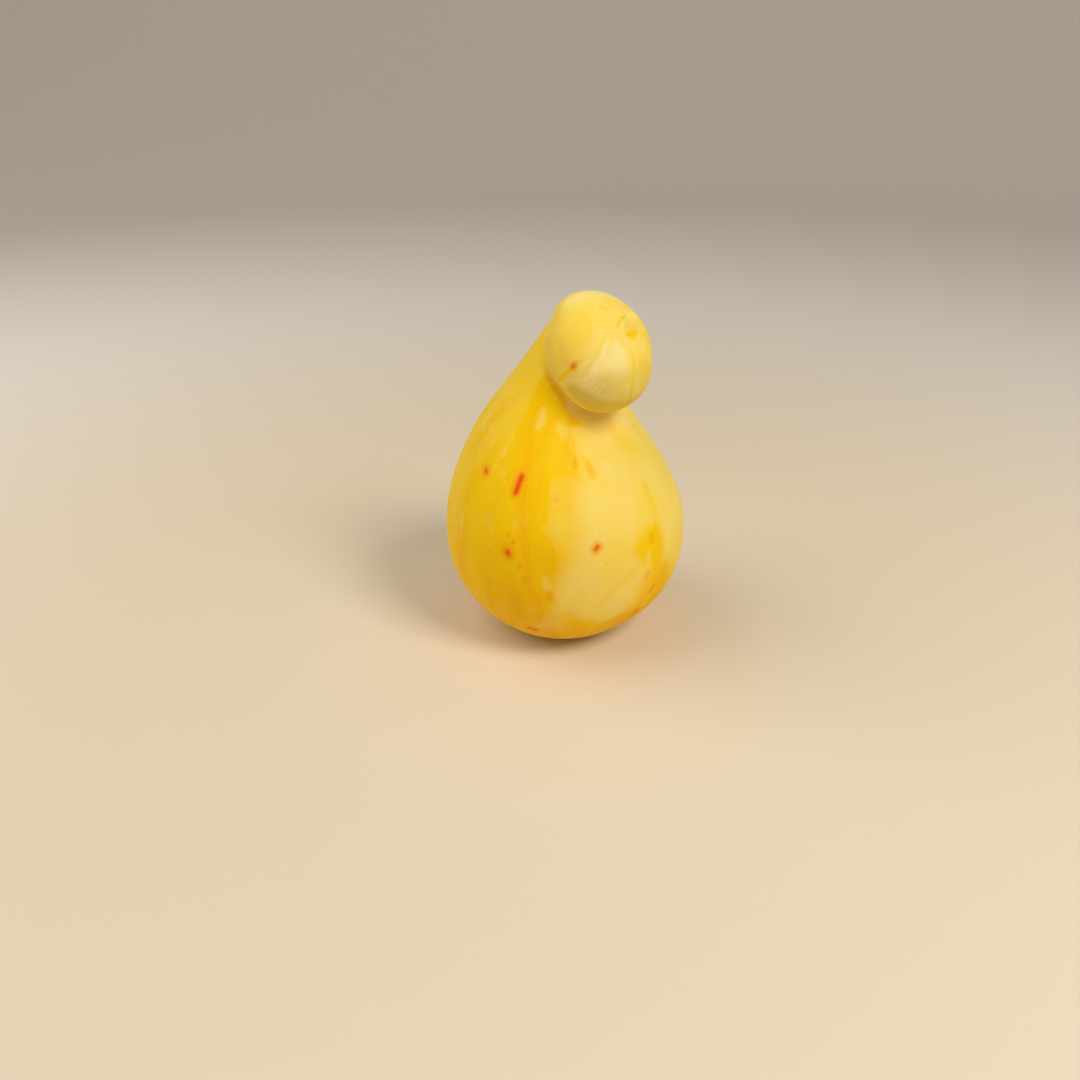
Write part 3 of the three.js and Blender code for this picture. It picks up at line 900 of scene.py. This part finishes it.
def curd_material(colours, grid):
    """Pulled curd under a thin natural rind.

    Stretched and shaped by hand in hot whey, then brined: satin and a little translucent, so that light
    softens in it. Its colour runs in streaks along the pull, gold where saffron has bled and orange-red at
    the threads.
    """
    material = bpy.data.materials.new("pulled curd with saffron")
    material.use_nodes = True
    tree = material.node_tree
    tree.nodes.clear()
    place = add(tree, "ShaderNodeTexCoord", "Object", {})
    height = add(tree, "ShaderNodeSeparateXYZ", "Z", {"Vector": place})
    flow = add(tree, "ShaderNodeAttribute", "Vector", {}, attribute_name="flow")
    # The ochre attribute is painted shade under the head and in the fold
    saffron, paleness, painted_shade = (
        add(tree, "ShaderNodeAttribute", "Fac", {}, attribute_name=name)
        for name in ("saffron", "pale", "painted_shade")
    )

    # Streaks 8 mm and 2.5 mm wide along the pull, clouds of 22 mm, ragged edges of 5 mm and a grain of 1.2 mm
    patterns = ((flow, 8, 3.0), (flow, 2.5, 2.0), (place, 22, 3.0), (place, 5, 3.0), (place, 1.2, 2.0))
    broad, fine, cloud, ragged, grain = (
        add(tree, "ShaderNodeTexNoise", "Fac", {"Vector": where, "Scale": 1 / (width * MM), "Detail": detail})
        for where, width, detail in patterns
    )

    # The place itself, shifted to and fro by a quarter of a millimetre, so that no mark has a straight edge
    shift = add(tree, "ShaderNodeTexNoise", "Color", {"Vector": place, "Scale": 1 / (3 * MM), "Detail": 1.0})
    shift = add(tree, "ShaderNodeVectorMath", "Vector", {0: shift, 1: (0.5, 0.5, 0.5)}, operation="SUBTRACT")
    unsteady = add(
        tree, "ShaderNodeVectorMath", "Vector", {0: shift, 1: (MM, MM, MM), 2: place},
        operation="MULTIPLY_ADD",
    )

    # Paler curd in some streaks and clouds, and pale patches that are streaked along the pull
    drawn = add(tree, "ShaderNodeMath", "Value", {0: broad, 1: cloud}, operation="ADD")
    patch = add(tree, "ShaderNodeMath", "Value", {0: broad, 1: 0.3, 2: paleness}, operation="MULTIPLY_ADD")
    patch = add(tree, "ShaderNodeMath", "Value", {0: fine, 1: 0.4, 2: patch}, operation="MULTIPLY_ADD")

    # Saffron stains, with edges that wander along the pull and deeper in some streaks; lower down the gold
    # deepens as painted shade and warm bounce light
    wander = add(tree, "ShaderNodeMath", "Value", {0: broad, 1: 0.55, 2: saffron}, operation="MULTIPLY_ADD")
    wander = add(tree, "ShaderNodeMath", "Value", {0: ragged, 1: 0.35, 2: wander}, operation="MULTIPLY_ADD")
    stain = add(tree, "ShaderNodeMapRange", "Result", {VALUE: wander, FROM_LOW: 0.45, FROM_HIGH: 1.32})
    # Painted shade and warm bounce light: the gold deepens towards the foot, below 80 mm
    low = add(
        tree, "ShaderNodeMapRange", "Result",
        {VALUE: height, FROM_LOW: 80 * MM, FROM_HIGH: 0.0, TO_HIGH: 0.42},
    )
    depth = add(tree, "ShaderNodeMath", "Value", {0: broad, 1: low}, operation="ADD")

    # Threads and their orange halos, a little grainy
    near = nearness(tree, unsteady, SAFFRON_THREADS, grid, THREAD_REACH)
    near = add(tree, "ShaderNodeMath", "Value", {0: grain, 1: 0.1, 2: near}, operation="MULTIPLY_ADD")

    # Dry rind: faint scuffs along the pull, most of them high up, scratches, and few specks under 1 mm that
    # differ in size
    scuff = add(tree, "ShaderNodeMath", "Value", {0: fine, 1: cloud}, operation="ADD")
    high = add(
        tree, "ShaderNodeMapRange", "Result",
        {VALUE: height, FROM_LOW: 75 * MM, FROM_HIGH: 125 * MM, TO_LOW: 0.3},
    )
    scratch = nearness(tree, unsteady, SCRATCHES, grid, MARK_REACH)
    cells = add(tree, "ShaderNodeTexVoronoi", None, {"Vector": unsteady, "Scale": 1 / (6 * MM)})
    speck = add(
        tree, "ShaderNodeVectorMath", "Value", {0: cells.outputs["Color"], 1: (0.16, 0, 0)},
        operation="DOT_PRODUCT",
    )
    speck = add(
        tree, "ShaderNodeMath", "Value", {0: speck, 1: cells.outputs["Distance"]}, operation="SUBTRACT",
    )
    dark = nearness(tree, unsteady, DARK_MARKS, grid, MARK_REACH)

    # How far each of these covers: nothing below the first number, the last number above the second
    ranges = {
        "drawn": (drawn, 0.75, 1.3, 0.36),
        "patch": (patch, 0.5, 1.2, 0.9),
        # deep covers real streaks and also the painted shade low down
        "deep": (depth, 0.4, 1.12, 0.9),
        "halo": (near, 0.2, 0.92, 0.85),
        "thread": (near, 0.68, 1.04, 0.95),
        "scuff": (scuff, 1.1, 1.5, 0.2),
        "scratch": (scratch, 0.4, 1.0, 0.4),
        "speck": (speck, 0.08, 0.15, 0.55),
        "pit": (dark, 0.3, 0.85, 0.7),
    }
    cover = {}
    for name, (value, start, full, most) in ranges.items():
        cover[name] = add(
            tree, "ShaderNodeMapRange", "Result",
            {VALUE: value, FROM_LOW: start, FROM_HIGH: full, TO_HIGH: most}, interpolation_type="SMOOTHSTEP",
        )
    dry = add(tree, "ShaderNodeMath", "Value", {0: cover["scuff"], 1: high}, operation="MULTIPLY")
    for name in ("scratch", "speck"):
        dry = add(tree, "ShaderNodeMath", "Value", {0: dry, 1: cover[name]}, operation="MAXIMUM")

    # Coats of colour on the curd, each over all before it
    gold = add(
        tree, "ShaderNodeMix", MIXED, {FACTOR: cover["deep"], FIRST: colours.gold, SECOND: colours.deep},
        data_type="RGBA",
    )
    # The ochre coat paints shade under the head and in the fold
    coats = (
        (cover["drawn"], colours.pale), (stain, gold), (cover["patch"], colours.pale), (painted_shade, colours.painted_shade),
        (cover["halo"], colours.halo), (cover["thread"], colours.thread), (dry, colours.rind),
        (cover["pit"], colours.pit),
    )
    base = colours.paste
    for share, coat in coats:
        base = add(tree, "ShaderNodeMix", MIXED, {FACTOR: share, FIRST: base, SECOND: coat}, data_type="RGBA")

    # Finish: satin in patches, with shallow pull lines and the grain
    rough = add(
        tree, "ShaderNodeMapRange", "Result",
        {VALUE: cloud, FROM_LOW: 0.3, FROM_HIGH: 0.7, TO_LOW: 0.45, TO_HIGH: 0.58},
    )
    lines = add(tree, "ShaderNodeMath", "Value", {0: fine, 1: 0.8, 2: grain}, operation="MULTIPLY_ADD")
    bump = add(
        tree, "ShaderNodeBump", "Normal", {"Height": lines, "Strength": 0.3, "Distance": 0.12 * MM},
    )
    shader = add(tree, "ShaderNodeBsdfPrincipled", "BSDF", {
        "Base Color": base, "Roughness": rough, "Normal": bump, "IOR": 1.45, "Specular IOR Level": 0.1,
        "Subsurface Weight": 0.35, "Subsurface Radius": (1.0, 0.75, 0.3), "Subsurface Scale": 5 * MM,
    })
    add(tree, "ShaderNodeOutputMaterial", None, {"Surface": shader})
    return material


class CACIOCAVALLO_OT_cheese(bpy.types.Operator):
    """Make the cheese: its skin as a fine closed mesh, and the curd with its saffron"""

    bl_idname = "caciocavallo.cheese"
    bl_label = "Cheese"

    def execute(self, context):
        sizes = context.scene.caciocavallo
        grid = SkinGrid(SmoothForm(sizes.pear, sizes.head))
        ease_corners(grid, sizes.relief)
        grid.points += grid.outward() * skin_height(grid, sizes.relief)[..., None]
        grid.points[..., 2] = np.maximum(grid.points[..., 2], 0)
        poles = np.stack([grid.points[0].mean(axis=0), grid.points[-1].mean(axis=0)])
        mesh = skin_mesh("caciocavallo", grid.points, poles)

        gathered = np.clip(grid.head_radius() / (sizes.head.radius - sizes.head.oval), LEAST_RING, 1)
        ring = PULL_RING * np.where(grid.rise > 4, gathered, 1)
        flow = (ring * np.cos(grid.turn), ring * np.sin(grid.turn), grid.up() / PULL_STRETCH)
        saffron = np.maximum(soaked(washed(grid, SAFFRON_WASHES)), stained(grid, SAFFRON_STAINS))
        saffron *= 1 - stained(grid, SAFFRON_GAPS)
        keep_on_mesh(mesh, "flow", np.stack(flow, axis=-1))
        keep_on_mesh(mesh, "saffron", saffron[..., None])
        keep_on_mesh(mesh, "pale", stained(grid, PALE_PATCHES)[..., None])
        # The ochre mask is painted shade under the head and in the fold
        keep_on_mesh(mesh, "painted_shade", stained(grid, PAINTED_SHADE_PATCHES)[..., None])

        piece = bpy.data.objects.new("caciocavallo", mesh)
        context.scene.collection.objects.link(piece)
        mesh.materials.append(curd_material(sizes.colours, grid))
        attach(piece, BODY)
        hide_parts(SOLID_NODE)
        return {"FINISHED"}


def floor_mesh(stage):
    """A surface of revolution: a level disc whose rim sweeps up along a quarter circle into the backdrop."""
    turns = np.arange(FLOOR_POINTS) * 2 * math.pi / FLOOR_POINTS
    sweep = np.linspace(0, math.pi / 2, SWEEP_ROWS)
    radius = np.concatenate([[FLOOR_MIDDLE], stage.floor_radius + stage.rim_radius * np.sin(sweep)])
    height = np.concatenate([[0.0], stage.rim_radius * (1 - np.cos(sweep))])
    radius, turn = np.meshgrid(radius, turns, indexing="ij")
    points = np.stack([radius * np.cos(turn), radius * np.sin(turn), height[:, None] + 0 * turn], axis=-1)
    corner = np.arange(points[..., 0].size).reshape(points.shape[:2])
    beside = np.roll(corner, -1, axis=1)
    quads = np.stack([corner[:-1], corner[1:], beside[1:], beside[:-1]], axis=-1).reshape(-1, 4)
    mesh = bpy.data.meshes.new("floor")
    mesh.from_pydata(points.reshape(-1, 3).tolist(), [], quads.tolist() + [corner[0].tolist()])
    mesh.polygons.foreach_set("use_smooth", np.ones(len(mesh.polygons), dtype=bool))
    return mesh


def floor_material(stage):
    """Matt pale card, warmer in tone close to the cheese so that its bounce light is warm, and painted paler
    further out, where the lamps' light falls off.
    """
    material = bpy.data.materials.new("matt pale card")
    material.use_nodes = True
    tree = material.node_tree
    tree.nodes.clear()
    place = add(tree, "ShaderNodeTexCoord", "Object", {})
    away = add(tree, "ShaderNodeVectorMath", "Value", {0: place}, operation="LENGTH")
    # Painted light: paler further out, where the lamps' light falls off
    far = add(
        tree, "ShaderNodeMapRange", "Result",
        {VALUE: away, FROM_LOW: FLOOR_PALER[0], FROM_HIGH: FLOOR_PALER[1]}, interpolation_type="SMOOTHSTEP",
    )
    tone = add(
        tree, "ShaderNodeMix", MIXED, {FACTOR: far, FIRST: stage.floor, SECOND: stage.backdrop},
        data_type="RGBA",
    )
    shader = add(tree, "ShaderNodeBsdfPrincipled", "BSDF", {"Base Color": tone, "Roughness": 0.9})
    add(tree, "ShaderNodeOutputMaterial", None, {"Surface": shader})
    return material


def add_lamp(context, name, watts, size, place, target):
    """A square lamp that faces a target."""
    lamp = bpy.data.lights.new(name, "AREA")
    lamp.energy = watts
    lamp.size = size
    holder = bpy.data.objects.new(name, lamp)
    context.scene.collection.objects.link(holder)
    facing = np.array(target) - np.array(place)
    holder.location = place
    level = math.hypot(facing[0], facing[1])
    holder.rotation_euler = (math.atan2(level, -facing[2]), 0, math.atan2(facing[1], facing[0]) - math.pi / 2)


class CACIOCAVALLO_OT_stage(bpy.types.Operator):
    """Make the plain stage: floor, even sky, two soft lamps and the camera"""

    bl_idname = "caciocavallo.stage"
    bl_label = "Stage"

    def execute(self, context):
        stage = context.scene.caciocavallo.stage
        floor = bpy.data.objects.new("floor", floor_mesh(stage))
        context.scene.collection.objects.link(floor)
        floor.data.materials.append(floor_material(stage))

        world = bpy.data.worlds.new("even sky")
        world.use_nodes = True
        background = world.node_tree.nodes["Background"]
        background.inputs["Color"].default_value = (1, 1, 1, 1)
        background.inputs["Strength"].default_value = stage.sky_strength
        context.scene.world = world

        middle = (0, 0, stage.lamp_aim)
        add_lamp(context, "key", stage.key_power, stage.key_size, stage.key_place, middle)
        add_lamp(context, "fill", stage.fill_power, stage.fill_size, stage.fill_place, middle)

        camera = bpy.data.cameras.new("camera")
        camera.lens = stage.camera_lens
        camera.clip_start = 10 * MM
        holder = bpy.data.objects.new("camera", camera)
        holder.location = stage.camera_place
        holder.rotation_euler = (math.pi / 2 - stage.camera_drop, 0, 0)
        context.scene.collection.objects.link(holder)
        context.scene.camera = holder
        context.scene.view_settings.view_transform = "Standard"
        return {"FINISHED"}


class CACIOCAVALLO_PT_sidebar(bpy.types.Panel):
    """Both operators and every setting, in the sidebar"""

    bl_idname = "CACIOCAVALLO_PT_sidebar"
    bl_label = "Saffron Caciocavallo"
    bl_space_type = "VIEW_3D"
    bl_region_type = "UI"
    bl_category = "Caciocavallo"

    def draw(self, context):
        for operator in OPERATORS:
            self.layout.operator(operator.bl_idname)
        settings = context.scene.caciocavallo
        for group in (settings.pear, settings.head, settings.relief, settings.colours, settings.stage):
            box = self.layout.box()
            for name in group.bl_rna.properties.keys():
                if name not in ("rna_type", "name"):
                    box.prop(group, name)


OPERATORS = (CACIOCAVALLO_OT_cheese, CACIOCAVALLO_OT_stage)
CLASSES = (
    PearSizes, HeadSizes, SkinRelief, CurdColours, StageSettings, Caciocavallo, *OPERATORS,
    CACIOCAVALLO_PT_sidebar,
)


def register():
    for made in CLASSES:
        bpy.utils.register_class(made)
    bpy.types.Scene.caciocavallo = PointerProperty(type=Caciocavallo)


def unregister():
    del bpy.types.Scene.caciocavallo
    for made in reversed(CLASSES):
        bpy.utils.unregister_class(made)


def main():
    register()
    bpy.ops.caciocavallo.cheese()
    bpy.ops.caciocavallo.stage()


if __name__ == "__main__":
    main()
